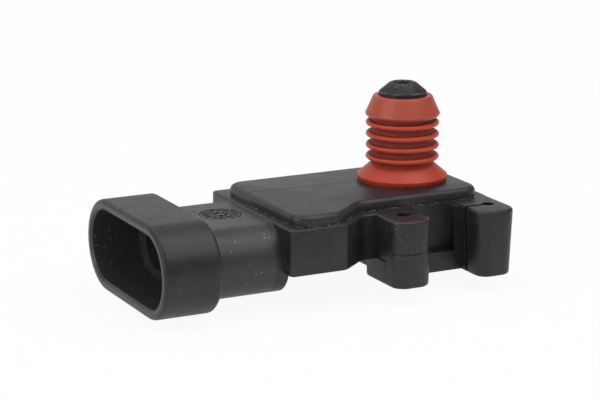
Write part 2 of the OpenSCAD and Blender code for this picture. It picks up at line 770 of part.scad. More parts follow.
module terminal_bond_wires() {
    color("silver") placed() for (i = [0 : 2]) translate([0, pin_y[i], 0])
        wire_loop(pad_end_x - wire_foot, substrate_x + wire_foot, circuit_z, circuit_z);
}

module die_bond_wires() { color("gold") placed() die_wires(); }

module chip_bond_wires() {
    color("gold") placed() at_chip(0) for (s = [-1, 1]) for (k = [-1 : 1])
        translate([0, k * chip_w / 3, 0])
            wire_loop(s * (chip_l / 2 - wire_d), s * (chip_l / 2 + wire_foot), chip_top, circuit_z);
}

housing();
port_cover();
port_seal();
cover_sealant();
terminal_ground();
terminal_signal();
terminal_supply();
terminal_sealant();
circuit_substrate();
substrate_adhesive();
glass_pedestal();
pedestal_adhesive();
pressure_die();
gel_dam();
sensing_gel();
signal_chip();
chip_adhesive();
line_capacitor();
supply_capacitor();
pull_up_resistor();
terminal_bond_wires();
die_bond_wires();
chip_bond_wires();
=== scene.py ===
import json
import math

import bmesh
import bpy
from mathutils import Matrix, Vector


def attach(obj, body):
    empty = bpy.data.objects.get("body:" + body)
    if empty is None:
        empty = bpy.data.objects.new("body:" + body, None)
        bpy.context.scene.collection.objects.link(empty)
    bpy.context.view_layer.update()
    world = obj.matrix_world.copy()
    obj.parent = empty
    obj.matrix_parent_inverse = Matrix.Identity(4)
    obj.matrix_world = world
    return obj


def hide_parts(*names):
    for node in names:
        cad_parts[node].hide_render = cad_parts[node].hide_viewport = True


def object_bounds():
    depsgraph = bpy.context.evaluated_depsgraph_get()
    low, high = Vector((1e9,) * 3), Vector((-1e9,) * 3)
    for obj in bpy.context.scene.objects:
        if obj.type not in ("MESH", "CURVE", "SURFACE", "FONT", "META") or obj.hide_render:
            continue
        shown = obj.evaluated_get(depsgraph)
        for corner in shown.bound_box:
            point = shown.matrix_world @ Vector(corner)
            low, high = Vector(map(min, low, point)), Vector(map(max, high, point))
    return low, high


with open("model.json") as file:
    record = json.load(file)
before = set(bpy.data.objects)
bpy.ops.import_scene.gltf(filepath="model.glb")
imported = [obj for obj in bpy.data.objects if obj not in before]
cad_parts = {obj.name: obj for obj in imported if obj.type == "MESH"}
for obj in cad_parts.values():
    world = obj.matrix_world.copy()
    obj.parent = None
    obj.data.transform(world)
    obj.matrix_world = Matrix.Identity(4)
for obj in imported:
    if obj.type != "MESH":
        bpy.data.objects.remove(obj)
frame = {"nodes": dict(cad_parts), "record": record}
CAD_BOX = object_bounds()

MM = 0.001
NODES = frame["nodes"]
SLOTS = {row["node"]: row["material_slot"] for row in frame["record"]["subparts"]}
scene = bpy.context.scene

# The long lens that the photo was taken with, and the direction it looks in
LENS_MM, SENSOR_MM = 131.64, 36.0
EYE, LOOK = (-0.1881, -0.3329, 0.0917), (0.4364, 0.8663, -0.2431)

# Soft boxes: where each hangs, how wide it is and its power. All of them aim at LIT_SPOT.
LIT_SPOT = (-0.02, 0.0, -0.005)
SOFT_BOXES = {
    "top_light": ((-0.1, 0.15, 0.8), 0.9, 2.8),
    "front_light": ((0.28, -0.38, 0.8), 0.8, 3.8),
    "left_light": ((-0.82, -0.12, 0.4), 0.6, 2.7),
}
# The pale room's light on the part, and how white it looks itself
ROOM_LIGHT, ROOM_SEEN = 0.3, 1.0
# How much of the floor is plain white where the camera and mirror-like pieces see it
WHITE_SEEN, WHITE_MIRRORED = 0.93, 0.6

# Corners that lie this close are one, and faces this near to level with each other are one
MERGE_MM, LEVEL_DEGREES = 0.002, 0.2
# Edges are sharp from this angle on
SHARP_PLASTIC, SHARP_RUBBER = 32.0, 40.0

# Where the housing's corner lies: the part's origin is on the port's axis, level with the cover
PORT_X, PORT_Y, COVER_Z = 31.1, 18.0, 9.95

# The round mould mark in the neck's flat top, in millimetres from the housing's corner
MARK_X, MARK_Y, NECK_TOP = -5.4, 16.4, 7.9
MARK_R, MARK_DEPTH = 3.75, 0.24
# Its raised rims, from inner to outer radius, its pointer and its bars
MARK_TALL, MARK_SIDES = 0.18, 72
MARK_RIMS = ((3.15, 3.4), (1.4, 1.6))
MARK_POINTER = ((1.15, 0.0), (0.2, 0.75), (0.2, 0.25), (-1.1, 0.25), (-1.1, -0.25), (0.2, -0.25),
    (0.2, -0.75))
MARK_BARS, BAR_RING_R, BAR_L, BAR_W = 12, 2.38, 0.95, 0.32

# Corners and corner radii of the cover's plate, in millimetres from the housing's corner
PLATE = [(1.5, 0.9, 3.2), (9.9, 0.9, 3.4), (16.3, 6.3, 3.4), (40.7, 6.3, 3.2), (40.7, 29.7, 3.2),
    (1.5, 29.7, 3.2)]
RIM_Z = 8.05
# Crumbs at the plate's foot: places, share of them used, smallest, largest and gap to the plate
CRUMB_PLACES, CRUMB_SHARE, CRUMB_SMALL, CRUMB_LARGE, CRUMB_GAP = 640, 0.3, 0.03, 0.1, 0.16
PLACE_SEED, SIZE_SEED, TURN_SEED = 3, 7, 11

# Level of the left boss's parting step in the source, how much higher the photo shows it, and the
# part of the boss that stands in front of the housing, in millimetres from the housing's corner
STEP_Z, STEP_RISE = -0.25, 2.4
STEP_X0, STEP_X1, STEP_Y0, STEP_Y1 = 18.1, 25.7, -4.0, -1.0

# Height of the seal's lowest rib above the cover and the ribs' pitch
RIB_Z, RIB_PITCH = 4.25 * MM, 2.03 * MM

# Middle of the socket, half the length of its straight sides, and its radius
SOCKET_Y, SOCKET_Z, SOCKET_SIDE, SOCKET_R = -2.0 * MM, -7.65 * MM, 9.3 * MM, 6.3 * MM

# Ejector marks on the underside, from the housing's corner, and their radius
EJECTORS = ((5.0, 6.0), (5.0, 26.0), (17.0, 26.0), (26.0, 9.0), (37.5, 9.0), (26.0, 27.0),
    (37.5, 27.0))
EJECTOR_R = 1.4


def place(x, y, z):
    """A point laid out from the housing's corner in millimetres, in the part's frame in metres."""
    return Vector((x - PORT_X, y - PORT_Y, z - COVER_Z)) * MM


def level(z):
    """A height laid out from the housing's corner, over the cover's face instead."""
    return z - COVER_Z


# ---------------------------------------------------------------- camera
def make_camera():
    """A long lens, from the front left and a little above."""
    data = bpy.data.cameras.new("camera")
    data.sensor_width = SENSOR_MM
    data.lens = LENS_MM
    data.clip_start, data.clip_end = 0.02, 20.0
    camera = bpy.data.objects.new("camera", data)
    scene.collection.objects.link(camera)
    forward = Vector(LOOK).normalized()
    right = forward.cross(Vector((0, 0, 1))).normalized()
    up = right.cross(forward)
    turn = Matrix((right, up, -forward)).transposed().to_4x4()
    camera.matrix_world = Matrix.Translation(EYE) @ turn
    scene.camera = camera


make_camera()


# ---------------------------------------------------------------- node trees
class Value:
    """A node's socket that adds Math nodes when it is used in an expression."""

    def __init__(self, nodes, socket):
        self.nodes, self.socket = nodes, socket

    def _math(self, operation, first, second=None):
        values = {0: first} if second is None else {0: first, 1: second}
        return self.nodes.node("Math", {"operation": operation}, values)[0]

    def __add__(self, other):
        return self._math("ADD", self, other)

    def __radd__(self, other):
        return self._math("ADD", other, self)

    def __sub__(self, other):
        return self._math("SUBTRACT", self, other)

    def __rsub__(self, other):
        return self._math("SUBTRACT", other, self)

    def __mul__(self, other):
        return self._math("MULTIPLY", self, other)

    def __rmul__(self, other):
        return self._math("MULTIPLY", other, self)

    def __truediv__(self, other):
        return self._math("DIVIDE", self, other)

    def __rtruediv__(self, other):
        return self._math("DIVIDE", other, self)

    def above(self, edge):
        return self._math("GREATER_THAN", self, edge)

    def below(self, edge):
        return self._math("LESS_THAN", self, edge)

    def at_least(self, other):
        return self._math("MAXIMUM", self, other)

    def size(self):
        return self._math("ABSOLUTE", self)

    def fraction(self):
        return self._math("FRACT", self)

    def ramp(self, low, high, to_low=0.0, to_high=1.0):
        """Goes smoothly from to_low at low to to_high at high."""
        settings = {"interpolation_type": "SMOOTHSTEP"}
        values = {0: self, 1: low, 2: high, 3: to_low, 4: to_high}
        return self.nodes.node("MapRange", settings, values)[0]


class Outputs:
    """The outputs of a node, by name or number."""

    def __init__(self, nodes, made):
        self.nodes, self.made = nodes, made

    def __getitem__(self, key):
        return Value(self.nodes, self.made.outputs[key])


class Nodes:
    """A node tree that is built one node at a time."""

    def __init__(self, tree):
        self.tree = tree

    def node(self, kind, settings=None, values=None):
        """Adds a node: its type, its settings first, and then its sockets' values or links."""
        made = self.tree.nodes.new(kind if "Node" in kind else "ShaderNode" + kind)
        for key, value in (settings or {}).items():
            setattr(made, key, value)
        for key, value in (values or {}).items():
            self.feed(made.inputs[key], value)
        return Outputs(self, made)

    def feed(self, socket, value):
        if isinstance(value, Value):
            self.tree.links.new(value.socket, socket)
        else:
            socket.default_value = value


class Shader(Nodes):
    """One material: its nodes, its surface and a few patterns that several finishes share."""

    def __init__(self, name, **fixed):
        self.material = bpy.data.materials.new(name)
        self.material.use_nodes = True
        super().__init__(self.material.node_tree)
        self.surface = self.tree.nodes["Principled BSDF"]
        self.spot = self.node("TexCoord")["Object"]
        self.x, self.y, self.z = (self.node("SeparateXYZ", None, {0: self.spot})[i] for i in range(3))
        for key, value in fixed.items():
            self.set(key.replace("_", " ").title().replace("Ior", "IOR"), value)

    def set(self, name, value):
        self.feed(self.surface.inputs[name], value)

    def over(self, low_mm, high_mm):
        """Goes from 0 at one height over the cover's face to 1 at the other."""
        return self.z.ramp(low_mm * MM, high_mm * MM)

    def noise(self, per_mm, detail=2.0, rough=0.5, stretch=None):
        """Cloudy noise with about per_mm blobs in a millimetre, drawn out where stretch is small."""
        spot = self.spot
        if stretch:
            spot = self.node("Mapping", None, {"Vector": spot, "Scale": stretch})[0]
        values = {"Vector": spot, "Scale": per_mm / MM, "Detail": detail, "Roughness": rough}
        return self.node("TexNoise", None, values)[0]

    def specks(self, per_mm, size, share):
        """Round specks in some cells of a random pattern: size in cells, share of cells bare."""
        cells = self.node("TexVoronoi", None, {"Vector": self.spot, "Scale": per_mm / MM})
        return cells["Distance"].ramp(size, size * 0.4) * cells["Color"].above(share)

    def mix(self, factor, first, second):
        values = {0: factor, 6: first, 7: second}
        return self.node("Mix", {"data_type": "RGBA"}, values)[2]

    def bump(self, height, depth_mm, strength):
        values = {"Height": height, "Distance": depth_mm * MM, "Strength": strength}
        return self.node("Bump", None, values)[0]

    def edges(self, radius_mm, low=0.02, high=0.25):
        """1 on sharp outer and inner edges, 0 on flat places."""
        bevel = self.node("Bevel", {"samples": 6}, {"Radius": radius_mm * MM})[0]
        plain = self.node("NewGeometry")["Normal"]
        dot = self.node("VectorMath", {"operation": "DOT_PRODUCT"}, {0: bevel, 1: plain})["Value"]
        return (1.0 - dot).ramp(low, high)

    def disc(self, centre, radius_mm, soft_mm):
        """1 in an upright column round a point and 0 outside it."""
        flat = self.node("CombineXYZ", None, {0: self.x, 1: self.y, 2: centre.z})[0]
        settings = {"operation": "DISTANCE"}
        away = self.node("VectorMath", settings, {0: flat, 1: tuple(centre)})["Value"]
        return away.ramp((radius_mm + soft_mm) * MM, radius_mm * MM)

    def line(self, away, width_mm):
        """1 where a distance is near zero."""
        return away.size().ramp(width_mm * MM, width_mm * 0.3 * MM)


def rgba(red, green, blue):
    return (red, green, blue, 1.0)


# ---------------------------------------------------------------- finishes
def moulded_plastic(name, tone=1.0, extras=None):
    """Black glass-filled moulding: eroded grain, mottled sheen, pale specks, greyer edges that are
    partly wear and partly painted highlight.
    """
    m = Shader(name, specular_ior_level=0.44)
    grain = m.noise(4.5, 3.0, 0.65)
    mottle = m.noise(1.6, 3.0, 0.6)
    cloud = m.noise(0.2, 2.0)
    flow = m.noise(0.3, 2.0, 0.5, stretch=(0.5, 1.0, 1.0))
    patch = m.noise(0.3, 3.0, 0.6).ramp(0.47, 0.6)
    speck = m.specks(2.0, 0.2, 0.42) * patch.ramp(0.0, 1.0, 0.12, 1.0)
    big_speck = m.specks(0.55, 0.1, 0.5) * m.noise(0.5, 1.0).ramp(0.4, 0.6)
    scuff = m.noise(1.1, 3.0, 0.6, stretch=(0.5, 1.4, 1.4)).ramp(0.62, 0.7) * patch
    # Lighter, greyer edges in patches: partly edge wear, partly a painted highlight along the edges.
    edge_wear_and_highlight = m.edges(0.3) * m.noise(1.7, 3.0).ramp(0.42, 0.6)
    dark = rgba(0.0118 * tone, 0.0115 * tone, 0.0145 * tone)
    light = rgba(0.0225 * tone, 0.022 * tone, 0.0262 * tone)
    colour = m.mix(cloud.ramp(0.3, 0.7) * 0.6 + (mottle - 0.5) * 0.9, dark, light)
    colour = m.mix(scuff * 0.3, colour, rgba(0.06, 0.06, 0.063))
    colour = m.mix(edge_wear_and_highlight * 0.6, colour, rgba(0.13, 0.13, 0.135))
    colour = m.mix(speck * 0.6 + big_speck * 0.7, colour, rgba(0.3, 0.29, 0.28))
    rough = 0.4 + (grain - 0.5) * 0.34 + (flow - 0.5) * 0.12 + (mottle - 0.5) * 0.3 + scuff * 0.08
    height = grain * 0.8 + mottle * 0.6 + speck * 0.8 + big_speck * 0.8
    if extras:
        colour, rough, height = extras(m, colour, rough, height)
    m.set("Base Color", colour)
    m.set("Roughness", rough)
    m.set("Normal", m.bump(height, 0.03, 0.65))
    return m.material


def housing_extras(m, colour, rough, height):
    """Painted shade and painted glints in the mark, painted light and dust specks in the socket, the
    connector's parting line and ejector marks below.
    """
    mark = m.disc(place(MARK_X, MARK_Y, NECK_TOP), MARK_R, 0.25) * m.z.above(place(0, 0, 7.2).z)
    # Painted shade: the recessed floor of the mark is darkened where shade falls.
    shaded_recess = m.over(level(NECK_TOP - 0.04), level(NECK_TOP - 0.2)) * mark
    colour = m.mix(shaded_recess * 0.9, colour, rgba(0.003, 0.003, 0.004))
    rough = rough + shaded_recess * 0.3
    # Painted glints: random bright spots on the mark stand in for highlights.
    painted_glint = m.noise(2.2, 2.0).ramp(0.52, 0.6) * mark
    colour = m.mix(painted_glint * 0.75, colour, rgba(0.38, 0.38, 0.38))
    past_side = ((m.y - SOCKET_Y).size() - SOCKET_SIDE).at_least(0.0)
    down = m.z - SOCKET_Z
    inside = (past_side * past_side + down * down).ramp((SOCKET_R * 1.2) ** 2, (SOCKET_R * 1.1) ** 2)
    inside = inside * m.x.ramp(place(-1.0, 0, 0).x, place(-2.0, 0, 0).x)
    # Painted light: the shaded inside of the socket is lightened as a painted fill; the pale specks
    # on it are dust.
    colour = m.mix(inside * 0.6, colour, rgba(0.05, 0.05, 0.054))
    colour = m.mix(inside * m.specks(1.1, 0.2, 0.5) * 0.7, colour, rgba(0.3, 0.3, 0.29))
    parting = m.line(m.z - place(0, 0, 2.05).z, 0.09) * m.x.ramp(place(0.4, 0, 0).x, place(0, 0, 0).x)
    height = height - parting * 0.6
    below = m.over(level(0.3), level(0.1))
    for x, y in EJECTORS:
        spot = place(x, y, 0)
        ring = m.disc(spot, EJECTOR_R + 0.1, 0.08) - m.disc(spot, EJECTOR_R - 0.08, 0.08)
        height = height - ring * below * 2.0
        rough = rough + m.disc(spot, EJECTOR_R, 0.1) * below * 0.08
    return colour, rough, height


def cover_extras(m, colour, rough, height):
    """A faint flow line across the plate, dust at its foot, scuffs on the barb and a painted
    highlight along its band.
    """
    top = m.over(level(9.7), level(9.9)) * m.over(0.3, 0.1)
    across = m.y - place(0, 19.04, 0).y + m.x * 0.0644 + (m.noise(0.3, 2.0) - 0.5) * (0.15 * MM)
    line = m.line(across, 0.17) * top * m.x.ramp(-8.5 * MM, -11.5 * MM)
    colour = m.mix(line * 0.7, colour, rgba(0.002, 0.002, 0.002))
    rough = rough + line * 0.35
    foot = m.over(level(8.5), level(8.1)) * m.noise(1.8, 2.0).ramp(0.6, 0.68)
    colour = m.mix(foot * 0.4, colour, rgba(0.2, 0.2, 0.2))
    barb = m.over(14.8, 15.1)
    colour = m.mix(barb * 0.9, colour, rgba(0.004, 0.004, 0.006))
    rub = m.noise(1.6, 3.0, 0.65, stretch=(1.0, 1.0, 2.2)).ramp(0.57, 0.66)
    tip = m.over(16.8, 17.3) * m.noise(2.4, 3.0, 0.65).ramp(0.5, 0.6)
    # Painted highlight: a broken pale line along the upper edge of the barb's band.
    painted_band_highlight = m.line(m.z - 15.95 * MM, 0.13) * m.noise(0.6, 2.0).ramp(0.42, 0.55)
    colour = m.mix(rub * barb * 0.35, colour, rgba(0.13, 0.13, 0.14))
    colour = m.mix((tip * 0.4).at_least(painted_band_highlight * 0.4), colour, rgba(0.2, 0.2, 0.21))
    rough = rough + barb * 0.16
    return colour, rough, height - line * 0.5


def silicone(name):
    """Brick-red silicone rubber: painted highlight on the crests, painted shade in the grooves that
    is darkest under each rib, painted highlight on the edges, nicks.
    """
    m = Shader(name, specular_ior_level=0.42)
    skin = m.noise(3.0, 3.0, 0.6)
    cloud = m.noise(0.35, 3.0)
    bloom = m.noise(0.7, 4.0, 0.6).ramp(0.5, 0.72)
    fleck = m.specks(1.5, 0.13, 0.7)
    flat = m.node("CombineXYZ", None, {0: m.x, 1: m.y})[0]
    away = m.node("VectorMath", {"operation": "LENGTH"}, {0: flat})["Value"]
    ribbed = m.over(2.9, 3.3) * m.over(11.75, 11.6)
    shaded_groove = away.ramp(6.3 * MM, 5.8 * MM) * ribbed
    shadow_under_rib = ((m.z - RIB_Z) / RIB_PITCH).fraction().ramp(0.3, 0.85)
    edge_highlight = m.edges(0.35)
    crest_highlight = away.ramp(6.2 * MM, 6.45 * MM) * ribbed
    nick = m.noise(1.7, 3.0, 0.6).ramp(0.55, 0.63) * m.over(0.9, 0.3)
    lip = m.over(10.4, 11.7)
    colour = m.mix(lip, rgba(0.5, 0.043, 0.012), rgba(0.4, 0.068, 0.036))
    colour = m.mix(cloud.ramp(0.3, 0.75) * 0.3, colour, rgba(0.42, 0.048, 0.024))
    colour = m.mix((skin - 0.35) * 0.35, colour, rgba(0.34, 0.04, 0.02))
    # Painted highlight: the rib crests are lightened where they catch the light.
    colour = m.mix(crest_highlight * 0.5, colour, rgba(0.6, 0.075, 0.03))
    # Painted shade: the grooves between the ribs are darkened, most just under each rib's crest.
    shade = m.mix(shadow_under_rib, rgba(0.26, 0.028, 0.014), rgba(0.1, 0.009, 0.006))
    colour = m.mix(shaded_groove * 0.9, colour, shade)
    # Painted highlight: pale lines along the seal's edges.
    colour = m.mix(edge_highlight * 0.3, colour, rgba(0.62, 0.26, 0.21))
    colour = m.mix(bloom * 0.1, colour, rgba(0.5, 0.2, 0.14))
    colour = m.mix(fleck * 0.4, colour, rgba(0.62, 0.36, 0.28))
    colour = m.mix(nick * 0.65, colour, rgba(0.11, 0.02, 0.014))
    m.set("Base Color", colour)
    m.set("Roughness", 0.33 + skin * 0.16 + bloom * 0.1 + shaded_groove * 0.25)
    m.set("Normal", m.bump(skin + fleck * 0.5 - nick * 0.8, 0.022, 0.5))
    return m.material


def pale_dust(name):
    """Crumbs of flash and dust, grey to nearly white."""
    m = Shader(name, roughness=0.7)
    m.set("Base Color", m.mix(m.noise(0.9, 2.0), rgba(0.16, 0.16, 0.16), rgba(0.75, 0.74, 0.72)))
    return m.material


def stamped_metal(name, colour, roughness=0.3):
    """Rolled or drawn metal: fine lines along X and a little tarnish."""
    m = Shader(name, metallic=1.0)
    lines = m.noise(1.2, 3.0, 0.6, stretch=(1.0, 12.0, 12.0))
    stain = m.noise(0.5, 3.0).ramp(0.45, 0.7)
    worn = m.edges(0.12)
    shade = rgba(*[c * 0.7 for c in colour])
    tint = m.mix(stain * 0.4, rgba(*colour), shade)
    m.set("Base Color", m.mix(worn * 0.4, tint, rgba(*[min(1.0, c * 1.15) for c in colour])))
    m.set("Roughness", roughness - 0.06 + lines * 0.16 + stain * 0.08)
    m.set("Normal", m.bump(lines, 0.004, 0.5))
    return m.material


def cured_sealant(name):
    """Dark adhesive with slow waves and a few pores."""
    m = Shader(name, specular_ior_level=0.5)
    wave = m.noise(0.7, 2.0)
    pore = m.specks(2.2, 0.16, 0.5)
    m.set("Base Color", m.mix(wave, rgba(0.05, 0.045, 0.04), rgba(0.11, 0.1, 0.09)))
    m.set("Roughness", 0.35 + wave * 0.25)
    m.set("Normal", m.bump(wave - pore * 0.5, 0.05, 0.5))
    return m.material


def fired_ceramic(name, colour, shade):
    """Matt fired ceramic, greyer on its corners."""
    m = Shader(name, specular_ior_level=0.45)
    grain = m.noise(6.0, 3.0)
    cloud = m.noise(0.4, 2.0).ramp(0.3, 0.7)
    chipped = m.edges(0.1) * m.noise(2.0, 3.0).ramp(0.5, 0.6)
    tint = m.mix(cloud, rgba(*colour), rgba(*shade))
    m.set("Base Color", m.mix(chipped * 0.4, tint, rgba(0.3, 0.29, 0.27)))
    m.set("Roughness", 0.5 + grain * 0.16)
    m.set("Normal", m.bump(grain, 0.01, 0.5))
    return m.material


def polished_silicon(name):
    """Dark mirror-like wafer."""
    m = Shader(name, metallic=0.75, specular_ior_level=0.6)
    haze = m.noise(2.0, 2.0)
    m.set("Base Color", m.mix(haze, rgba(0.16, 0.17, 0.21), rgba(0.26, 0.27, 0.31)))
    m.set("Roughness", 0.12 + haze * 0.1)
    return m.material


def clear_body(name, colour, roughness, alpha):
    """Clear glass or gel."""
    m = Shader(name, specular_ior_level=0.5)
    haze = m.noise(0.8, 2.0)
    m.set("Base Color", m.mix(haze, rgba(*colour), rgba(*[c * 0.9 for c in colour])))
    m.set("Roughness", roughness + haze * 0.08)
    m.set("Alpha", alpha + haze * 0.1)
    return m.material


MATERIALS = {
    "housing_plastic": moulded_plastic("housing_plastic", 1.0, housing_extras),
    "cover_plastic": moulded_plastic("cover_plastic", 1.35, cover_extras),
    "seal_rubber": silicone("seal_rubber"),
    "sealant": cured_sealant("sealant"),
    "terminal_alloy": stamped_metal("terminal_alloy", (0.74, 0.7, 0.6)),
    "substrate_ceramic": fired_ceramic("substrate_ceramic", (0.8, 0.79, 0.74), (0.7, 0.69, 0.65)),
    "pedestal_glass": clear_body("pedestal_glass", (0.8, 0.86, 0.84), 0.08, 0.5),
    "silicon": polished_silicon("silicon"),
    "dam_plastic": moulded_plastic("dam_plastic", 1.6),
    "gel": clear_body("gel", (0.78, 0.82, 0.85), 0.06, 0.4),
    "chip_part_ceramic": fired_ceramic("chip_part_ceramic", (0.46, 0.34, 0.22), (0.38, 0.28, 0.18)),
    "bond_aluminium": stamped_metal("bond_aluminium", (0.86, 0.86, 0.87), 0.25),
    "bond_gold": stamped_metal("bond_gold", (0.9, 0.66, 0.26), 0.22),
}
DUST = pale_dust("pale_dust")


# ---------------------------------------------------------------- pieces
def dress(piece, slot_name):
    piece.data.materials.clear()
    piece.data.materials.append(MATERIALS[slot_name])


def add_piece(name, mesh, slot_name, replaced=None, own_finish=False):
    """Shows a new mesh on the part's body, with a slot's finish or the one that it came with."""
    mesh.name = name
    piece = bpy.data.objects.new(name, mesh)
    scene.collection.objects.link(piece)
    if not own_finish:
        dress(piece, slot_name)
    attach(piece, "root")
    if replaced:
        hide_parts(replaced)
    return piece


def smooth_by_angle(mesh, degrees):
    """Smooth shading, with sharp edges where faces meet at more than the angle."""
    bm = bmesh.new()
    bm.from_mesh(mesh)
    limit = math.radians(degrees)
    for face in bm.faces:
        face.smooth = True
    for edge in bm.edges:
        edge.smooth = len(edge.link_faces) == 2 and edge.calc_face_angle(math.pi) < limit
    bm.to_mesh(mesh)
    bm.free()


def merged_mesh(node):
    """A copy of a node's mesh with its corners joined."""
    mesh = NODES[node].data.copy()
    bm = bmesh.new()
    bm.from_mesh(mesh)
    bmesh.ops.remove_doubles(bm, verts=bm.verts, dist=MERGE_MM * MM)
    bmesh.ops.dissolve_limit(bm, angle_limit=math.radians(LEVEL_DEGREES), verts=bm.verts,
        edges=bm.edges)
    bmesh.ops.triangulate(bm, faces=[f for f in bm.faces if len(f.verts) > 4])
    bm.to_mesh(mesh)
    bm.free()
    return mesh


def built(mesh, set_up):
    """The mesh that a modifier makes, as a plain mesh."""
    holder = bpy.data.objects.new("holder", mesh)
    scene.collection.objects.link(holder)
    set_up(holder)
    graph = bpy.context.evaluated_depsgraph_get()
    made = bpy.data.meshes.new_from_object(holder.evaluated_get(graph))
    bpy.data.objects.remove(holder)
    return made


def cylinder_mesh(centre, radius_mm, height_mm):
    bm = bmesh.new()
    bmesh.ops.create_cone(bm, cap_ends=True, segments=MARK_SIDES, radius1=radius_mm * MM,
        radius2=radius_mm * MM, depth=height_mm * MM, matrix=Matrix.Translation(centre))
    mesh = bpy.data.meshes.new("cutter")
    bm.to_mesh(mesh)
    bm.free()
    return mesh


def raised_step(mesh):
    """Lifts the left boss's parting step to its level in the photo."""
    low, high = place(STEP_X0, STEP_Y0, STEP_Z - 0.02), place(STEP_X1, STEP_Y1, STEP_Z + 0.02)
    for vertex in mesh.vertices:
        if all(low[k] < vertex.co[k] < high[k] for k in range(3)):
            vertex.co.z += STEP_RISE * MM
    return mesh


def housing_moulding():
    """The housing with its step raised and the round recess of the mould mark in its neck."""
    cutter_mesh = cylinder_mesh(place(MARK_X, MARK_Y, NECK_TOP), MARK_R, 2 * MARK_DEPTH)
    cutter = bpy.data.objects.new("cutter", cutter_mesh)
    scene.collection.objects.link(cutter)

    def cut(holder):
        boolean = holder.modifiers.new("recess", "BOOLEAN")
        boolean.operation, boolean.solver, boolean.object = "DIFFERENCE", "EXACT", cutter

    mesh = built(raised_step(merged_mesh("housing")), cut)
    bpy.data.objects.remove(cutter)
    bpy.data.meshes.remove(cutter_mesh)
    smooth_by_angle(mesh, SHARP_PLASTIC)
    add_piece("housing_moulding", mesh, "housing_plastic", "housing")


def plain_moulding(node, name, degrees):
    mesh = merged_mesh(node)
    smooth_by_angle(mesh, degrees)
    add_piece(name, mesh, SLOTS[node], node)


for node_name, node in NODES.items():
    dress(node, SLOTS[node_name])

housing_moulding()
plain_moulding("port_cover", "cover_moulding", SHARP_PLASTIC)
plain_moulding("port_seal", "ribbed_seal", SHARP_RUBBER)


# ---------------------------------------------------------------- patterns that repeat
class Pattern(Nodes):
    """A Geometry Nodes tree with named inputs."""

    def __init__(self, name, **inputs):
        super().__init__(bpy.data.node_groups.new(name, "GeometryNodeTree"))
        face = self.tree.interface
        face.new_socket("Geometry", in_out="INPUT", socket_type="NodeSocketGeometry")
        for key, kind in inputs.items():
            face.new_socket(key, in_out="INPUT", socket_type="NodeSocket" + kind)
        face.new_socket("Geometry", in_out="OUTPUT", socket_type="NodeSocketGeometry")
        self.given = self.node("NodeGroupInput")

    def close(self, instances):
        """Ends the tree: real geometry in the given material."""
        real = self.node("GeometryNodeRealizeInstances", None, {"Geometry": instances})[0]
        values = {"Geometry": real, "Material": self.given["Material"]}
        done = self.node("GeometryNodeSetMaterial", None, values)[0]
        self.node("NodeGroupOutput", None, {0: done})

    def run(self, mesh, **values):
        """The plain mesh that the pattern makes from a mesh and its named inputs."""
        sockets = {item.name: item.identifier for item in self.tree.interface.items_tree
            if item.in_out == "INPUT"}

        def set_up(holder):
            modifier = holder.modifiers.new("pattern", "NODES")
            modifier.node_group = self.tree
            for key, value in values.items():
                modifier[sockets[key]] = value

        return built(mesh, set_up)


def ring_of_bars():
    """Bars set round a circle, each pointing outwards."""
    p = Pattern("ring_of_bars", Count="Int", Radius="Float", Length="Float", Width="Float",
        Height="Float", Material="Material")
    circle = p.node("GeometryNodeMeshCircle", None,
        {"Vertices": p.given["Count"], "Radius": p.given["Radius"]})[0]
    size = p.node("CombineXYZ", None,
        {0: p.given["Length"], 1: p.given["Width"], 2: p.given["Height"]})[0]
    bar = p.node("GeometryNodeMeshCube", None, {"Size": size})[0]
    angle = 2 * math.pi / p.given["Count"] * p.node("GeometryNodeInputIndex")[0]
    turn = p.node("CombineXYZ", None, {2: angle})[0]
    turned = p.node("FunctionNodeEulerToRotation", None, {0: turn})[0]
    p.close(p.node("GeometryNodeInstanceOnPoints", None,
        {"Points": circle, "Instance": bar, "Rotation": turned})[0])
    return p


def crumbs_along_line():
    """Small crumbs at some of the points of a line, in random sizes and turns."""
    p = Pattern("crumbs_along_line", Count="Int", Share="Float", Smallest="Float", Largest="Float",
        Seed="Int", Material="Material")
    line = p.node("GeometryNodeMeshToCurve", None, {"Mesh": p.given["Geometry"]})[0]
    even = p.node("GeometryNodeResampleCurve", None, {"Curve": line, "Count": p.given["Count"]})[0]
    crumb = p.node("GeometryNodeMeshIcoSphere", None, {"Radius": 1.0, "Subdivisions": 1})[0]

    def random(kind, seed):
        return p.node("FunctionNodeRandomValue", {"data_type": kind}, {"Seed": seed})["Value"]

    kept = random("FLOAT", p.given["Seed"]).below(p.given["Share"])
    sizes = p.node("MapRange", None, {0: random("FLOAT", SIZE_SEED), 3: p.given["Smallest"],
        4: p.given["Largest"]})[0]
    turned = p.node("FunctionNodeEulerToRotation", None, {0: random("FLOAT_VECTOR", TURN_SEED)})[0]
    p.close(p.node("GeometryNodeInstanceOnPoints", None, {"Points": even, "Selection": kept,
        "Instance": crumb, "Rotation": turned, "Scale": sizes})[0])
    return p


def moved(mesh, shift):
    mesh.transform(Matrix.Translation(shift))
    return mesh


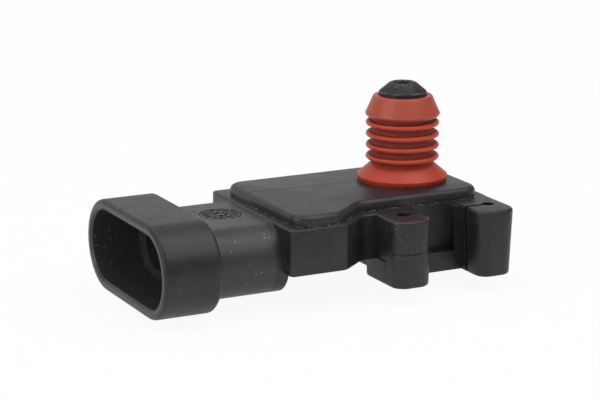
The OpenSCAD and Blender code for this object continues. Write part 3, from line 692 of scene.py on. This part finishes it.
def mark_relief():
    """The mould mark: a rim, bars round it and a plain pointer, below the neck's surface."""
    floor = place(MARK_X, MARK_Y, NECK_TOP - MARK_DEPTH)
    tall = MARK_TALL * MM
    bm = bmesh.new()

    def corners(points, height):
        return [bm.verts.new((x * MM, y * MM, height)) for x, y in points]

    def wall(low, high):
        for k in range(len(low)):
            j = (k + 1) % len(low)
            bm.faces.new((low[k], low[j], high[j], high[k]))

    turns = [2 * math.pi * k / MARK_SIDES for k in range(MARK_SIDES)]
    for inner, outer in MARK_RIMS:
        rings = [corners([(radius * math.cos(a), radius * math.sin(a)) for a in turns], height)
            for radius, height in ((outer, 0.0), (outer, tall), (inner, tall), (inner, 0.0))]
        for low, high in zip(rings, rings[1:]):
            wall(low, high)
    top = corners(MARK_POINTER, tall)
    wall(corners(MARK_POINTER, 0.0), top)
    bm.faces.new(top)
    bmesh.ops.recalc_face_normals(bm, faces=bm.faces)
    mesh = bpy.data.meshes.new("mark_relief")
    bm.to_mesh(mesh)
    bm.free()
    add_piece("mould_mark_relief", moved(mesh, floor), "housing_plastic")

    bars = ring_of_bars().run(bpy.data.meshes.new("none"), Count=MARK_BARS,
        Radius=BAR_RING_R * MM, Length=BAR_L * MM, Width=BAR_W * MM, Height=tall,
        Material=MATERIALS["housing_plastic"])
    add_piece("mould_mark_bars", moved(bars, floor + Vector((0, 0, tall / 2))), "housing_plastic")


def rounded_line(corners, outset_mm, height_mm, arc_steps=8):
    """A closed line of edges round a rounded outline, set outwards from it."""
    points = []
    count = len(corners)
    for k, (x, y, radius) in enumerate(corners):
        corner = Vector((x, y))
        before = (corner - Vector(corners[k - 1][:2])).normalized()
        after = (Vector(corners[(k + 1) % count][:2]) - corner).normalized()
        turn = before.angle_signed(after)
        side = 1.0 if turn < 0 else -1.0
        centre = corner + (after - before).normalized() * radius / math.cos(abs(turn) / 2)
        reach = radius + side * outset_mm
        first = math.atan2(-side * before.x, side * before.y)
        for step in range(arc_steps + 1):
            angle = first - turn * step / arc_steps
            points.append(centre + reach * Vector((math.cos(angle), math.sin(angle))))
    mesh = bpy.data.meshes.new("line")
    ring = [place(p.x, p.y, height_mm) for p in points]
    mesh.from_pydata(ring, [(k, (k + 1) % len(ring)) for k in range(len(ring))], [])
    return mesh


def moulding_crumbs():
    """Fine crumbs of flash and dust on the ledge, at the foot of the cover's plate."""
    line = rounded_line(PLATE, CRUMB_GAP, RIM_Z + 0.01)
    crumbs = crumbs_along_line().run(line, Count=CRUMB_PLACES, Share=CRUMB_SHARE,
        Smallest=CRUMB_SMALL * MM, Largest=CRUMB_LARGE * MM, Seed=PLACE_SEED, Material=DUST)
    add_piece("ledge_crumbs", crumbs, "cover_plastic", own_finish=True)


mark_relief()
moulding_crumbs()


# ---------------------------------------------------------------- floor and light
def make_floor():
    """A white sweep that the part stands on. It looks white and keeps the part's shadow."""
    low = CAD_BOX[0].z
    half, back, radius, rise, steps = 3.0, 2.4, 0.8, 2.0, 14
    rows = [(-half, low)]
    for k in range(steps + 1):
        a = math.radians(90.0 * k / steps)
        rows.append((back - radius + radius * math.sin(a), low + radius * (1 - math.cos(a))))
    rows.append((back, low + rise))
    bm = bmesh.new()
    line = [[bm.verts.new((x, y, z)) for x in (-half, half)] for y, z in rows]
    for a, b in zip(line, line[1:]):
        bm.faces.new((a[0], a[1], b[1], b[0])).smooth = True
    mesh = bpy.data.meshes.new("floor")
    bm.to_mesh(mesh)
    bm.free()
    floor = bpy.data.objects.new("floor", mesh)
    scene.collection.objects.link(floor)
    m = Shader("floor_paper", roughness=0.9, specular_ior_level=0.1)
    m.set("Base Color", rgba(0.93, 0.93, 0.93))
    path = m.node("LightPath")
    share = (path["Is Camera Ray"] * WHITE_SEEN).at_least(path["Is Glossy Ray"] * WHITE_MIRRORED)
    share = share.at_least(path["Is Transmission Ray"] * 0.85)
    white = m.node("Emission", None, {"Color": rgba(1.0, 1.0, 1.0), "Strength": 1.0})
    lit = Value(m, m.surface.outputs[0])
    both = m.node("MixShader", None, {0: share, 1: lit, 2: white[0]})
    m.feed(m.tree.nodes["Material Output"].inputs[0], both[0])
    floor.data.materials.append(m.material)


def soft_box(name, spot, size, watts):
    data = bpy.data.lights.new(name, "AREA")
    data.shape = "RECTANGLE"
    data.size = data.size_y = size
    data.energy = watts
    lamp = bpy.data.objects.new(name, data)
    scene.collection.objects.link(lamp)
    lamp.location = spot
    lamp.rotation_mode = "QUATERNION"
    lamp.rotation_quaternion = (Vector(LIT_SPOT) - Vector(spot)).to_track_quat("-Z", "Y")


def make_light():
    """Soft boxes above, to the front and on the left, in a pale room that looks white."""
    for name, (spot, size, watts) in SOFT_BOXES.items():
        soft_box(name, spot, size, watts)
    world = bpy.data.worlds.new("studio")
    scene.world = world
    world.use_nodes = True
    w = Nodes(world.node_tree)
    path = w.node("LightPath")
    seen = path["Is Camera Ray"].at_least(path["Is Transmission Ray"])
    background = w.tree.nodes["Background"]
    w.feed(background.inputs[0], rgba(1.0, 1.0, 1.0))
    w.feed(background.inputs[1], w.node("MapRange", None, {0: seen, 3: ROOM_LIGHT, 4: ROOM_SEEN})[0])


make_floor()
make_light()
scene.view_settings.view_transform = "Standard"
